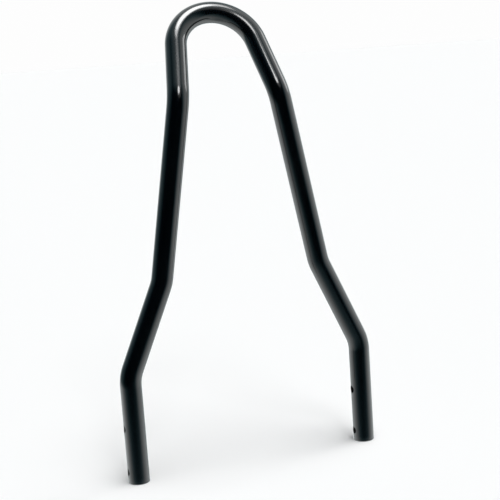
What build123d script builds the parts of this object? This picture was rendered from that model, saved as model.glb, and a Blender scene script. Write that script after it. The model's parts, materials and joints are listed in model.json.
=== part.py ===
"""Sissy bar: one round steel tube, bent seven times on one die and cross-drilled at both feet.

Millimetres. +Z runs up the feet, +X to the right as seen from the rider's side, +Y to the rear of
the motorbike. The origin is the bottom centre of the bar's own box: on the plane of the cut ends,
midway between the feet, and midway between the front of the legs and the back of the loop.
"""

from build123d import *

from math import acos, atan2, cos, hypot, radians, sin
import os

# Tube, and the bending die's radius at the tube's centre line
tube_diameter = 25.4
tube_wall = 2.4
bend_radius = 49.5

# Legs: distance between the two centre lines, and height above the cut ends, at each bend's corner
foot_spacing = 289.0
ankle_height = 126.0
waist_spacing = 195.0
waist_height = 231.5
neck_spacing = 121.5
neck_height = 438.5

# Loop: from the neck to the centre line at its top, measured along its own backward lean
loop_height = 110.0
loop_lean = 30.0

# Bolt holes through each foot: the lower one's height above the cut end, then the step to the upper
bolt_hole = 8.7
bolt_end_distance = 13.5
bolt_spacing = 52.5

# Cut ends: bevelled outside, deburred inside
end_bevel = 0.8
end_deburr = 0.5

# The legs stand in one plane, and the loop's top leans out behind it
lean = radians(loop_lean)
leg_plane = -loop_height * sin(lean) / 2

# Where the straight run from the right neck touches the loop's arc, in the leaning plane
arc_rise = loop_height - bend_radius
neck_reach = hypot(neck_spacing / 2, arc_rise)
taper = acos(bend_radius / neck_reach) - atan2(arc_rise, neck_spacing / 2)
touch_across = bend_radius * cos(taper)
touch_along = arc_rise + bend_radius * sin(taper)


def on_loop(across, along):
    """A point of the leaning plane, which hinges on the line through the two necks."""
    return (across, leg_plane + along * sin(lean), neck_height + along * cos(lean))


os.makedirs("parts", exist_ok=True)

with BuildPart() as sissy_bar:
    # Centre line: up the right leg, round the loop and down the left leg
    with BuildLine() as centre_line:
        right_leg = FilletPolyline(
            (foot_spacing / 2, leg_plane, 0),
            (foot_spacing / 2, leg_plane, ankle_height),
            (waist_spacing / 2, leg_plane, waist_height),
            (neck_spacing / 2, leg_plane, neck_height),
            on_loop(touch_across, touch_along),
            radius=bend_radius,
        )
        mirror(right_leg, about=Plane.YZ)
        ThreePointArc(
            on_loop(touch_across, touch_along),
            on_loop(0, loop_height),
            on_loop(-touch_across, touch_along),
        )

    # Tube wall, drawn on the right foot's cut end
    with BuildSketch(Plane(right_leg ^ 0)) as tube_section:
        Circle(tube_diameter / 2)
        Circle(tube_diameter / 2 - tube_wall, mode=Mode.SUBTRACT)
    sweep(path=centre_line.wire())

    # Cut ends: the largest circles on their plane are the outer edges, the smallest the inner ones
    for place, size in ((-1, end_bevel), (0, end_deburr)):
        end_edges = sissy_bar.edges().filter_by(GeomType.CIRCLE).group_by(Axis.Z)[0]
        chamfer(end_edges.group_by(SortBy.RADIUS)[place], length=size)

    # Bolt holes, drilled straight across both feet
    with BuildSketch(Plane.YZ) as bolt_holes:
        with Locations((leg_plane, bolt_end_distance), (leg_plane, bolt_end_distance + bolt_spacing)):
            Circle(bolt_hole / 2)
    extrude(amount=foot_spacing, both=True, mode=Mode.SUBTRACT)

sissy_bar.part.label = "sissy_bar"
export_step(sissy_bar.part, "parts/sissy_bar.step")
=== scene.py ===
"""Sissy bar in gloss black powder coat, standing on a white studio floor.

Metres, in the bar's own frame: +Z up the feet, +X to the right as seen from the rider's side, +Y to
the rear. The tube is drawn as rings of points along its bent centre line, with the bolt holes worked
into the mesh. The outer edges of its cut ends and the edges of its holes are rounded, as its coat
leaves them.
"""

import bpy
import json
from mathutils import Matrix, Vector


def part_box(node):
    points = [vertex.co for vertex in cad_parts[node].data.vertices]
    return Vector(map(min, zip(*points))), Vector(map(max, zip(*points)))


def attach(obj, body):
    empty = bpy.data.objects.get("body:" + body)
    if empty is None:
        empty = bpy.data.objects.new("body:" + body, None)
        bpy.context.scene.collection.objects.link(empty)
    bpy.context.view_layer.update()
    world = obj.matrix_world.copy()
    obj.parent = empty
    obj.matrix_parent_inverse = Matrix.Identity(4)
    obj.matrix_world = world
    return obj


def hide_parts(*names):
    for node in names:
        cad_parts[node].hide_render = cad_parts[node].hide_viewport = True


bl_info = {
    "name": "Sissy Bar",
    "version": (1, 0, 0),
    "blender": (4, 5, 0),
    "location": "View3D > Sidebar > Sissy Bar",
    "description": "Builds a bent-tube sissy bar in gloss black powder coat, and a studio round it",
    "category": "Object",
}

import json
from collections import namedtuple
from math import acos, atan2, ceil, cos, hypot, pi, radians, sin, sqrt, tan

import bmesh
import bpy
from bpy.props import FloatProperty, FloatVectorProperty, PointerProperty
from mathutils import Euler, Matrix, Vector

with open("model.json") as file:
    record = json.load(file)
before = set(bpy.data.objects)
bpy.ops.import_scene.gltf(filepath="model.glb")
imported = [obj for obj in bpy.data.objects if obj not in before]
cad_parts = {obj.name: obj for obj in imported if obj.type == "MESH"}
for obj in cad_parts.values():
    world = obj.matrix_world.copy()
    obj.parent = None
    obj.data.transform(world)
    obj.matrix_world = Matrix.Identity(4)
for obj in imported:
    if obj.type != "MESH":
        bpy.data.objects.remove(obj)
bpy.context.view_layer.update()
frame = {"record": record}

# What the frame already says about the tube: its box, and the bolt holes on the right foot's inner side
bar_low, bar_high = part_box("sissy_bar")
mounts = {mount["name"]: mount for mount in frame["record"]["mounts"]}
right_bolts = mounts["right_foot_bolts"]
inner_side, leg_plane, bolts_middle = right_bolts["pos_m"]
bolt_step = right_bolts["dims"]["spacing_y_mm"] / 1000

# Mesh density: points round the tube, a bolt hole's patch in columns and rows each way from its middle,
# and the longest steps along bends and straight runs
AROUND = 72
PATCH = 6
BEND_STEP = radians(2)
RUN_STEP = 0.012

# Rows across a patch are allowed this much more than their even share, so that rounding never adds one
ROW_SLACK = 1.001

# Finer shapes: steps round the edge of a cut end and of a bolt hole, a patch's rings as shares of the
# way from the hole to the patch's edge, and how far faces turn before the edge between them is sharp
END_STEPS = 5
HOLE_STEPS = 4
PATCH_RINGS = (0.7, 0.4, 0.15)
SHARP_TURN = radians(38)

# Refraction of the coat and of what lies under it
COAT_IOR = 1.55

# Width of the camera's sensor in millimetres
SENSOR_WIDTH = 36


def length(name, description, default):
    """A size in metres."""
    return FloatProperty(
        name=name, description=description, default=default, min=0, precision=4, subtype="DISTANCE"
    )


def angle(name, description, degrees):
    """An angle, written here in degrees and kept in radians."""
    return FloatProperty(name=name, description=description, default=radians(degrees), subtype="ANGLE")


def share(name, description, default):
    """A number from 0 to 1."""
    return FloatProperty(
        name=name, description=description, default=default, min=0, max=1, precision=3, subtype="FACTOR"
    )


def colour(name, description, default):
    """A linear colour."""
    return FloatVectorProperty(
        name=name, description=description, default=default, min=0, max=1, subtype="COLOR"
    )


class TubeSizes(bpy.types.PropertyGroup):
    """The tube and its bends. Spacings are between the two centre lines, heights above the cut ends."""

    diameter: length("Diameter", "Outside of the tube", bar_high.x - inner_side)
    wall: length("Wall", "Thickness of the tube's wall", 0.0024)
    bend_radius: length("Bend radius", "Die radius at the centre line, for all seven bends", 0.0495)
    foot_spacing: length("Foot spacing", "Between the two straight feet", bar_high.x + inner_side)
    ankle_height: length("Ankle height", "Corner above each foot, where the leg turns in", 0.126)
    waist_spacing: length("Waist spacing", "Between the corners below the uprights", 0.195)
    waist_height: length("Waist height", "Corner below each upright", 0.2315)
    neck_spacing: length("Neck spacing", "Between the corners below the loop", 0.1215)
    loop_lean: angle("Loop lean", "How far the loop leans to the rear of the uprights", 30)
    loop_reach: length(
        "Loop reach", "From the legs back to the loop's top",
        bar_high.y - bar_low.y - (bar_high.x - inner_side),
    )
    top: length("Top", "Height of the loop's top", bar_high.z)


class EndSizes(bpy.types.PropertyGroup):
    """Cut ends and bolt holes of the two feet."""

    outer_round: length("Outer round", "Rounding outside the cut end", 0.0012)
    inner_chamfer: length("Inner chamfer", "Deburring inside the cut end", 0.0005)
    hole_diameter: length("Hole", "Bolt hole", 2 * right_bolts["dims"]["hole_r_mm"] / 1000)
    hole_round: length("Hole round", "Rounding that the coat leaves at a hole's edge", 0.00025)
    coat_reach: length("Coat reach", "How far the coat gets into the bore from a cut end", 0.005)
    lower_hole: length("Lower hole", "Height of the lower bolt hole", bolts_middle - bolt_step / 2)
    hole_step: length("Hole step", "From the lower bolt hole to the upper", bolt_step)


class CoatFinish(bpy.types.PropertyGroup):
    """Gloss black powder coat."""

    tint: colour("Colour", "Colour of the coat", (0.0002, 0.0012, 0.0024))
    bloom: colour("Bloom", "Colour where the coat has cured a little duller", (0.0004, 0.0016, 0.0030))
    haze: share("Haze", "Roughness under the gloss", 0.16)
    haze_spread: share("Haze spread", "How much that roughness wanders", 0.05)
    gloss: share("Gloss", "Weight of the flowed-out surface", 1.0)
    gloss_spread: share("Gloss spread", "How much weight the surface loses in patches", 0.06)
    gloss_roughness: share("Gloss roughness", "Roughness of the flowed-out surface", 0.07)
    peel: length("Orange peel", "Width of the ripples in the surface", 0.0022)
    peel_depth: length("Peel depth", "Height of those ripples", 0.000024)
    patch: length("Patch", "Width of the duller and glossier patches", 0.06)
    scale: colour("Mill scale", "Colour of the bore past the coat's reach", (0.016, 0.014, 0.013))
    scale_roughness: share("Mill scale roughness", "Roughness of the bore", 0.75)


class StudioLook(bpy.types.PropertyGroup):
    """Floor, room, lamps and camera."""

    floor: colour("Floor", "Colour of the floor", (0.95, 0.95, 0.95))
    floor_reach: length("Floor reach", "From the bar to the floor's edge", 60)
    backdrop: share("Backdrop", "Brightness of the background, level with the floor's", 0.985)
    ambient: share("Ambient", "Light from the whole room on plain surfaces", 0.05)
    daylight: colour("Daylight", "Colour of the room's light", (0.95, 1.0, 1.0))
    shade: colour("Shade", "Colour of the room where it is dim", (0.26, 0.76, 0.91))
    camera_place: FloatVectorProperty(
        name="Camera", description="Where the camera stands", default=(-0.42792, -1.30737, 0.49183),
        subtype="TRANSLATION",
    )
    camera_heading: angle("Heading", "Turn of the view from straight ahead to the right", 18.97)
    camera_pitch: angle("Pitch", "How far the view looks down", 9.88)
    camera_roll: angle("Roll", "Tilt of the camera to the left", -4.02)
    lens: FloatProperty(
        name="Lens", description=f"Focal length on a {SENSOR_WIDTH} mm sensor", default=84.12,
        unit="CAMERA",
    )


# The mesh's own note of how bare of coat each point is, from 0 to 1
BARE = "bare"

# One place on the centre line: where it is, which way the tube runs there, and which way its rear faces
Station = namedtuple("Station", "point along rear")


def run_to(path, end, step):
    """Adds evenly spaced stations in a straight run from the last one to end."""
    last = path[-1]
    count = max(1, ceil((end - last.point).length / step))
    for i in range(1, count + 1):
        path.append(Station(last.point.lerp(end, i / count), last.along, last.rear))


def bend_at(path, corner, onward, rear, radius):
    """Adds a straight run towards a corner, then a bend round it, after which the tube runs onward."""
    heading = path[-1].along
    turn = heading.angle(onward)
    run_to(path, corner - heading * radius * tan(turn / 2), RUN_STEP)
    start = path[-1]
    inward = (onward - heading * heading.dot(onward)).normalized()
    count = ceil(turn / BEND_STEP)
    for i in range(1, count + 1):
        turned = turn * i / count
        along = heading * cos(turned) + inward * sin(turned)
        point = start.point + (heading * sin(turned) + inward * (1 - cos(turned))) * radius
        facing = start.rear.lerp(rear, i / count)
        facing -= along * facing.dot(along)
        path.append(Station(point, along, facing.normalized()))


def right_half(tube, ends):
    """Stations from the right foot to the loop's top, and the first row of each bolt hole's patch."""
    radius = tube.bend_radius
    up = Vector((0, 0, 1))
    rear = Vector((0, 1, 0))
    loop_up = Vector((0, sin(tube.loop_lean), cos(tube.loop_lean)))
    loop_rear = Vector((0, cos(tube.loop_lean), -sin(tube.loop_lean)))
    loop_height = tube.loop_reach / sin(tube.loop_lean)
    neck_height = tube.top - tube.diameter / 2 - loop_height * cos(tube.loop_lean)

    # Corners of the centre line
    ankle = Vector((tube.foot_spacing / 2, leg_plane, tube.ankle_height))
    waist = Vector((tube.waist_spacing / 2, leg_plane, tube.waist_height))
    neck = Vector((tube.neck_spacing / 2, leg_plane, neck_height))

    # The run above the neck leans in just enough to touch the loop's arc
    arc_rise = loop_height - radius
    neck_reach = hypot(neck.x, arc_rise)
    taper = acos(radius / neck_reach) - atan2(arc_rise, neck.x)
    loop_leg = loop_up * cos(taper) - Vector((sin(taper), 0, 0))
    crown = Vector((radius * tan((pi / 2 - taper) / 2), leg_plane, neck_height)) + loop_up * loop_height

    # Foot: plain runs, and rows evenly spaced across each bolt hole's patch
    patch_half = tube.diameter / 2 * PATCH * 2 * pi / AROUND
    patch_step = ROW_SLACK * patch_half / PATCH
    path = [Station(Vector((ankle.x, leg_plane, ends.outer_round)), up, rear)]
    patch_rows = []
    for hole_height in (ends.lower_hole, ends.lower_hole + ends.hole_step):
        run_to(path, Vector((ankle.x, leg_plane, hole_height - patch_half)), RUN_STEP)
        patch_rows.append(len(path) - 1)
        run_to(path, Vector((ankle.x, leg_plane, hole_height + patch_half)), patch_step)

    # The four bends on this side; the last one ends at the loop's top
    bend_at(path, ankle, (waist - ankle).normalized(), rear, radius)
    bend_at(path, waist, (neck - waist).normalized(), rear, radius)
    bend_at(path, neck, loop_leg, loop_rear, radius)
    bend_at(path, crown, Vector((-1, 0, 0)), loop_rear, radius)
    return path, patch_rows


def mirrored(station):
    """The same place on the left, with the tube running on down the left leg."""
    point, along, rear = station
    return Station(
        Vector((-point.x, point.y, point.z)),
        Vector((along.x, -along.y, -along.z)),
        Vector((-rear.x, rear.y, rear.z)),
    )


def ring(mesh, station, radius, shift=0):
    """One ring of points round a station, moved along the tube by shift."""
    side = station.rear.cross(station.along)
    middle = station.point + station.along * shift
    points = []
    for i in range(AROUND):
        turn = 2 * pi * i / AROUND
        points.append(mesh.verts.new(middle + (side * cos(turn) + station.rear * sin(turn)) * radius))
    return points


def join_rings(mesh, rings, drilled=()):
    """Faces between each ring and the next, except at the rows and columns that drilled holds."""
    for row, (this, following) in enumerate(zip(rings, rings[1:])):
        for column in range(len(this)):
            if (row, column) in drilled:
                continue
            after = (column + 1) % len(this)
            mesh.faces.new((this[column], this[after], following[after], following[column]))


def cut_end(mesh, station, outward, outer, inner, radii, ends):
    """The cut end past the first or last ring: rounded outside, flat, and deburred inside."""
    outside, bore = radii
    rounded = ends.outer_round
    profile = []
    for i in range(1, END_STEPS + 1):
        turned = pi / 2 * i / END_STEPS
        profile.append((outside - rounded * (1 - cos(turned)), rounded * sin(turned)))
    profile.append((bore + ends.inner_chamfer, rounded))
    profile.append((bore, rounded - ends.inner_chamfer))
    lip = [ring(mesh, station, radius, outward * drop) for radius, drop in profile]
    join_rings(mesh, [outer] + lip + [inner])


def patch_edge():
    """A hole patch's outer edge, as steps of column and row from the patch's middle, once round."""
    steps = range(-PATCH, PATCH)
    lower = [(i, -PATCH) for i in steps]
    right = [(PATCH, i) for i in steps]
    upper = [(-i, PATCH) for i in steps]
    left = [(-PATCH, -i) for i in steps]
    return lower + right + upper + left


def bolt_hole(mesh, walls, stations, first_row, column, radii, ends):
    """One bolt hole through one side of the tube: a patch in each wall, rounded edges, and its bore."""
    middle = stations[first_row + PATCH]
    turn = 2 * pi * column / AROUND
    side = middle.rear.cross(middle.along)
    outward = side * cos(turn) + middle.rear * sin(turn)
    across = middle.rear * cos(turn) - side * sin(turn)
    row_step = (stations[first_row + 1].point - stations[first_row].point).length
    hole = ends.hole_diameter / 2
    rounded = ends.hole_round
    edge = patch_edge()
    bare = mesh.verts.layers.float[BARE]

    def around_hole(radius, spread, widen, sink):
        """Points round the hole: spread 0 is the hole widened by widen, spread 1 the patch's edge."""
        points = []
        for columns, rows in edge:
            edge_across = radius * sin(2 * pi * columns / AROUND)
            edge_along = rows * row_step
            bearing = atan2(edge_along, edge_across)
            reach_across = (hole + widen) * cos(bearing) * (1 - spread) + edge_across * spread
            reach_along = (hole + widen) * sin(bearing) * (1 - spread) + edge_along * spread
            height = sqrt(radius ** 2 - reach_across ** 2) - sink
            place = middle.point + outward * height + across * reach_across + middle.along * reach_along
            point = mesh.verts.new(place)
            # Inside the tube the coat thins out away from the hole
            point[bare] = spread if radius < radii[0] else 0
            points.append(point)
        return points

    sides = []
    for wall, radius, inward in zip(walls, radii, (1, -1)):
        row = first_row + PATCH
        rings = [[wall[row + rows][(column + columns) % AROUND] for columns, rows in edge]]
        for spread in PATCH_RINGS:
            rings.append(around_hole(radius, spread, rounded, 0))
        for i in range(HOLE_STEPS + 1):
            turned = pi / 2 * i / HOLE_STEPS
            widen = rounded * (1 - sin(turned))
            sink = inward * rounded * (1 - cos(turned))
            rings.append(around_hole(radius, 0, widen, sink))
        sides.append(rings)
    outer_rings, inner_rings = sides
    join_rings(mesh, outer_rings + inner_rings[::-1])


def bent_tube(tube, ends):
    """The whole bar as one closed mesh."""
    path, patch_rows = right_half(tube, ends)
    stations = path + [mirrored(station) for station in path[-2::-1]]
    radii = (tube.diameter / 2, tube.diameter / 2 - tube.wall)
    mesh = bmesh.new()
    bare = mesh.verts.layers.float.new(BARE)
    walls = [[ring(mesh, station, radius) for station in stations] for radius in radii]
    outer, inner = walls

    # The coat thins out into the bore
    for station, points in zip(stations, inner):
        for point in points:
            point[bare] = min(1, station.point.z / ends.coat_reach)

    # Each foot has two holes, and each hole goes through the outer side and the inner side
    last_patch = len(stations) - 1 - 2 * PATCH
    first_rows = patch_rows + [last_patch - row for row in patch_rows]
    holes = [(row, column) for row in first_rows for column in (0, AROUND // 2)]
    drilled = set()
    for first_row, column in holes:
        for row in range(first_row, first_row + 2 * PATCH):
            for step in range(-PATCH, PATCH):
                drilled.add((row, (column + step) % AROUND))
    for rings in walls:
        join_rings(mesh, rings, drilled)
    for first_row, column in holes:
        bolt_hole(mesh, walls, stations, first_row, column, radii, ends)
    cut_end(mesh, stations[0], -1, outer[0], inner[0], radii, ends)
    cut_end(mesh, stations[-1], 1, outer[-1], inner[-1], radii, ends)
    bmesh.ops.recalc_face_normals(mesh, faces=mesh.faces)
    return mesh


def as_object(name, mesh, sharp_turn=None):
    """Turns a finished bmesh into an object of the scene, flat or else smooth up to sharp_turn."""
    data = bpy.data.meshes.new(name)
    mesh.to_mesh(data)
    mesh.free()
    if sharp_turn:
        data.shade_smooth()
        data.set_sharp_from_angle(angle=sharp_turn)
    made = bpy.data.objects.new(name, data)
    bpy.context.scene.collection.objects.link(made)
    return made


class Wire:
    """An output socket of a node. Arithmetic on it adds Math nodes to the same tree."""

    def __init__(self, sheet, socket):
        self.sheet = sheet
        self.socket = socket

    def beside(self, name):
        """Another output of the same node."""
        return Wire(self.sheet, self.socket.node.outputs[name])

    def math(self, operation, first, second):
        """A Math node on two values, of which at least one is a wire."""
        return self.sheet.node("Math", {"operation": operation}, {0: first, 1: second})

    def lighter_of(self, other):
        """The larger of two values."""
        return self.math("MAXIMUM", self, other)

    def __add__(self, other):
        return self.math("ADD", self, other)

    def __radd__(self, other):
        return self.math("ADD", other, self)

    def __sub__(self, other):
        return self.math("SUBTRACT", self, other)

    def __rsub__(self, other):
        return self.math("SUBTRACT", other, self)

    def __mul__(self, other):
        return self.math("MULTIPLY", self, other)

    def __rmul__(self, other):
        return self.math("MULTIPLY", other, self)


class NodeSheet:
    """A shader's node tree, emptied and drawn anew."""

    def __init__(self, tree):
        self.tree = tree
        tree.nodes.clear()

    def node(self, kind, settings, sockets, output=0):
        """Adds a node, sets its settings and then its sockets, and gives back one of its outputs."""
        made = self.tree.nodes.new("ShaderNode" + kind)
        for name, value in settings.items():
            setattr(made, name, value)
        for name, value in sockets.items():
            if isinstance(value, Wire):
                self.tree.links.new(value.socket, made.inputs[name])
            else:
                made.inputs[name].default_value = value
        return Wire(self, made.outputs[output]) if made.outputs else None

    def dot(self, vector, towards):
        """How far a vector points a given way."""
        return self.node("VectorMath", {"operation": "DOT_PRODUCT"}, {0: vector, 1: towards}, output=1)

    def smooth_step(self, value, at_zero, at_one):
        """0 at one value and 1 at another, easing in between."""
        limits = {"Value": value, "From Min": at_zero, "From Max": at_one}
        return self.node("MapRange", {"interpolation_type": "SMOOTHSTEP"}, limits)

    def noise(self, place, width, detail, roughness):
        """Soft noise from 0 to 1 whose blobs are about width across."""
        settings = {"noise_dimensions": "3D"}
        return self.node("TexNoise", settings, {
            "Vector": place, "Scale": 1 / width, "Detail": detail, "Roughness": roughness,
        })

    def mix_colours(self, factor, first, second):
        """From the first colour at factor 0 to the second at 1."""
        first, second = (each if isinstance(each, Wire) else (*each, 1) for each in (first, second))
        return self.node("Mix", {"data_type": "RGBA"}, {0: factor, 6: first, 7: second}, output=2)


def new_material(name):
    """An empty material and its node sheet."""
    made = bpy.data.materials.new(name)
    made.use_nodes = True
    return made, NodeSheet(made.node_tree)


def powder_coat(finish):
    """Gloss black powder coat: a hazy black under a flowed-out surface with a faint orange peel.
    Where the mesh is bare of it, inside the tube, there is mill scale."""
    made, sheet = new_material("black_coat")
    place = sheet.node("TexCoord", {}, {}).beside("Object")
    patches = sheet.noise(place, finish.patch, detail=3, roughness=0.55)
    ripples = sheet.noise(place, finish.peel, detail=1, roughness=0.4)
    dullness = sheet.smooth_step(patches, at_zero=0.38, at_one=0.68)
    bumps = sheet.node("Bump", {}, {"Strength": 1, "Distance": finish.peel_depth, "Height": ripples})
    bare = sheet.node("Attribute", {"attribute_name": BARE}, {}).beside("Fac")
    coated = 1 - bare
    black = sheet.mix_colours(dullness, finish.tint, finish.bloom)
    hazy = finish.haze + finish.haze_spread * dullness
    glossy = finish.gloss - finish.gloss_spread * dullness
    surface = sheet.node("BsdfPrincipled", {}, {
        "Base Color": sheet.mix_colours(bare, black, finish.scale),
        "Roughness": hazy * coated + finish.scale_roughness * bare,
        "IOR": COAT_IOR,
        "Coat Weight": glossy * coated,
        "Coat Roughness": finish.gloss_roughness,
        "Coat IOR": COAT_IOR,
        "Normal": bumps,
    })
    sheet.node("OutputMaterial", {}, {"Surface": surface})
    return made


def floor_paint(look):
    """Plain pale floor."""
    made, sheet = new_material("studio_floor")
    surface = sheet.node("BsdfPrincipled", {}, {
        "Base Color": (*look.floor, 1), "Roughness": 0.9, "Specular IOR Level": 0,
    })
    sheet.node("OutputMaterial", {}, {"Surface": surface})
    return made


def heading_of(azimuth, elevation):
    """The direction at an azimuth and an elevation, in degrees. Azimuth 0 is -Y, the viewer's side, and
    azimuth 90 is +X."""
    turn = radians(azimuth)
    rise = radians(elevation)
    return Vector((sin(turn) * cos(rise), -cos(turn) * cos(rise), sin(rise)))


# A soft-edged part of the room: a direction, in degrees, how squarely a look has to point that way for
# it to begin and to be full, as a cosine, and how bright it is then. One that begins at a higher cosine
# than it is full at grows away from that direction.
Glow = namedtuple("Glow", "azimuth elevation begins full strength")

# A wall on the right, one to the rear with a window in it, and the ceiling
RIGHT_WALL = Glow(azimuth=85, elevation=0, begins=0.52, full=1.08, strength=0.8)
REAR_WALL = Glow(azimuth=180, elevation=0, begins=-0.3, full=0.65, strength=0.25)
REAR_WINDOW = Glow(azimuth=180, elevation=0, begins=0.7, full=1, strength=0.35)
CEILING = Glow(azimuth=0, elevation=90, begins=0.62, full=1.05, strength=0.48)

# The ground: where it takes over from the walls, and how it grows pale away from the viewer. It is
# darker straight under the bar and to the rear, where a gleam lies on it.
UNDERFOOT = Glow(azimuth=0, elevation=85.5, begins=-0.145, full=-0.352, strength=1)
GROUND = Glow(azimuth=-19, elevation=15, begins=1.07, full=-0.42, strength=1.07)
OWN_SHADE = Glow(azimuth=0, elevation=-80, begins=0.9, full=1, strength=0.45)
REAR_SHADE = Glow(azimuth=158, elevation=-15, begins=0.6, full=0.95, strength=0.6)
REAR_GLEAM = Glow(azimuth=162, elevation=-17, begins=0.93, full=0.995, strength=1.6)


def glow(sheet, direction, part):
    """The brightness of one part of the room in a direction."""
    squarely = sheet.dot(direction, heading_of(part.azimuth, part.elevation))
    return part.strength * sheet.smooth_step(squarely, part.begins, part.full)


def white_room(look):
    """White to the camera, plain ambient light on plain surfaces, and a room for the coat to mirror, dark
    on the viewer's side and paler on the right, to the rear, overhead and over the ground."""
    world = bpy.data.worlds.new("studio")
    world.use_nodes = True
    sheet = NodeSheet(world.node_tree)
    direction = sheet.node("TexCoord", {}, {})
    level = sheet.node("VectorMath", {"operation": "MULTIPLY"}, {0: direction, 1: (1, 1, 0)})
    bearing = sheet.node("VectorMath", {"operation": "NORMALIZE"}, {0: level})

    # The walls, equally bright at every height, and the ceiling
    rear = glow(sheet, bearing, REAR_WALL) + glow(sheet, bearing, REAR_WINDOW)
    upper = (glow(sheet, bearing, RIGHT_WALL) + rear).lighter_of(glow(sheet, direction, CEILING))

    # The ground, which takes over below them
    ground = glow(sheet, direction, GROUND) * (1 - glow(sheet, direction, REAR_SHADE))
    ground = ground * (1 - glow(sheet, direction, OWN_SHADE)) + glow(sheet, direction, REAR_GLEAM)
    underfoot = glow(sheet, direction, UNDERFOOT)
    room = upper * (1 - underfoot) + ground * underfoot
    daylit = sheet.smooth_step(room, at_zero=-0.2, at_one=0.7)
    lit = sheet.mix_colours(daylit, look.shade, look.daylight)

    # What each kind of ray meets
    rays = sheet.node("LightPath", {}, {})
    seen = rays.beside("Is Camera Ray")
    mirrored_ray = rays.beside("Is Glossy Ray") + rays.beside("Is Transmission Ray")
    plain = 1 - seen - mirrored_ray
    strength = look.backdrop * seen + mirrored_ray * room + plain * look.ambient
    tint = sheet.mix_colours(seen, lit, (1, 1, 1))
    background = sheet.node("Background", {}, {"Color": tint, "Strength": strength})
    sheet.node("OutputWorld", {}, {"Surface": background})
    bpy.context.scene.world = world


# A far soft lamp: where it hangs and how wide it looks, in degrees, and the light it gives
Lamp = namedtuple("Lamp", "name azimuth elevation width strength")
LAMPS = (
    Lamp("top_lamp", azimuth=32, elevation=80.5, width=28, strength=1.03),
    Lamp("top_glow", azimuth=40, elevation=81, width=40, strength=1.52),
    Lamp("key_lamp", azimuth=-1, elevation=45.3, width=17.5, strength=0.5),
    Lamp("key_glow", azimuth=8, elevation=44, width=34, strength=0.075),
    Lamp("fill_lamp", azimuth=12, elevation=57, width=24, strength=0.07),
    Lamp("side_lamp", azimuth=96, elevation=25.5, width=27, strength=0.295),
)


def hang(lamp):
    """Puts a lamp in the scene, shining at the bar."""
    data = bpy.data.lights.new(lamp.name, "SUN")
    data.angle = radians(lamp.width)
    data.energy = lamp.strength
    made = bpy.data.objects.new(lamp.name, data)
    made.rotation_euler = heading_of(lamp.azimuth, lamp.elevation).to_track_quat("Z", "Y").to_euler()
    bpy.context.scene.collection.objects.link(made)


def studio_floor(look):
    """A round floor under the feet. The coat doesn't mirror it, and shows the room's ground instead."""
    mesh = bmesh.new()
    bmesh.ops.create_circle(mesh, cap_ends=True, segments=96, radius=look.floor_reach)
    made = as_object("studio_floor", mesh)
    made.data.materials.append(floor_paint(look))
    made.visible_glossy = False


def photo_camera(look):
    """The camera at the photograph's viewing angle."""
    data = bpy.data.cameras.new("photo_camera")
    data.sensor_width = SENSOR_WIDTH
    data.lens = look.lens
    data.clip_end = 2 * look.floor_reach
    made = bpy.data.objects.new("photo_camera", data)
    aim = Euler((pi / 2 - look.camera_pitch, 0, -look.camera_heading)).to_matrix().to_4x4()
    roll = Matrix.Rotation(look.camera_roll, 4, "Z")
    made.matrix_world = Matrix.Translation(look.camera_place) @ aim @ roll
    bpy.context.scene.collection.objects.link(made)
    bpy.context.scene.camera = made


class SISSYBAR_OT_tube(bpy.types.Operator):
    """Build the bent tube with its drilled feet, in black powder coat"""

    bl_idname = "sissybar.tube"
    bl_label = "Bent Tube"

    def execute(self, context):
        scene = context.scene
        mesh = bent_tube(scene.sissybar_tube, scene.sissybar_ends)
        made = as_object("sissy_bar_tube", mesh, SHARP_TURN)
        made.data.materials.append(powder_coat(scene.sissybar_coat))
        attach(made, "root")
        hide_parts("sissy_bar")
        return {"FINISHED"}


class SISSYBAR_OT_stage(bpy.types.Operator):
    """Build the floor, the room, the lamps and the camera"""

    bl_idname = "sissybar.stage"
    bl_label = "Stage"

    def execute(self, context):
        look = context.scene.sissybar_look
        context.scene.view_settings.view_transform = "Standard"
        white_room(look)
        studio_floor(look)
        for lamp in LAMPS:
            hang(lamp)
        photo_camera(look)
        return {"FINISHED"}


class SISSYBAR_PT_panel(bpy.types.Panel):
    """Sizes, finish and studio of the sissy bar"""

    bl_idname = "SISSYBAR_PT_panel"
    bl_label = "Sissy Bar"
    bl_space_type = "VIEW_3D"
    bl_region_type = "UI"
    bl_category = "Sissy Bar"

    def draw(self, context):
        for name, kind in GROUPS.items():
            box = self.layout.box()
            for key in kind.__annotations__:
                box.prop(getattr(context.scene, name), key)
        for operator in OPERATORS:
            self.layout.operator(operator.bl_idname)


GROUPS = {
    "sissybar_tube": TubeSizes,
    "sissybar_ends": EndSizes,
    "sissybar_coat": CoatFinish,
    "sissybar_look": StudioLook,
}
OPERATORS = (SISSYBAR_OT_tube, SISSYBAR_OT_stage)
CLASSES = (*GROUPS.values(), *OPERATORS, SISSYBAR_PT_panel)


def register():
    for kind in CLASSES:
        bpy.utils.register_class(kind)
    for name, kind in GROUPS.items():
        setattr(bpy.types.Scene, name, PointerProperty(type=kind))


def unregister():
    for name in GROUPS:
        delattr(bpy.types.Scene, name)
    for kind in reversed(CLASSES):
        bpy.utils.unregister_class(kind)


def main():
    register()
    bpy.ops.sissybar.tube()
    bpy.ops.sissybar.stage()


if __name__ == "__main__":
    main()
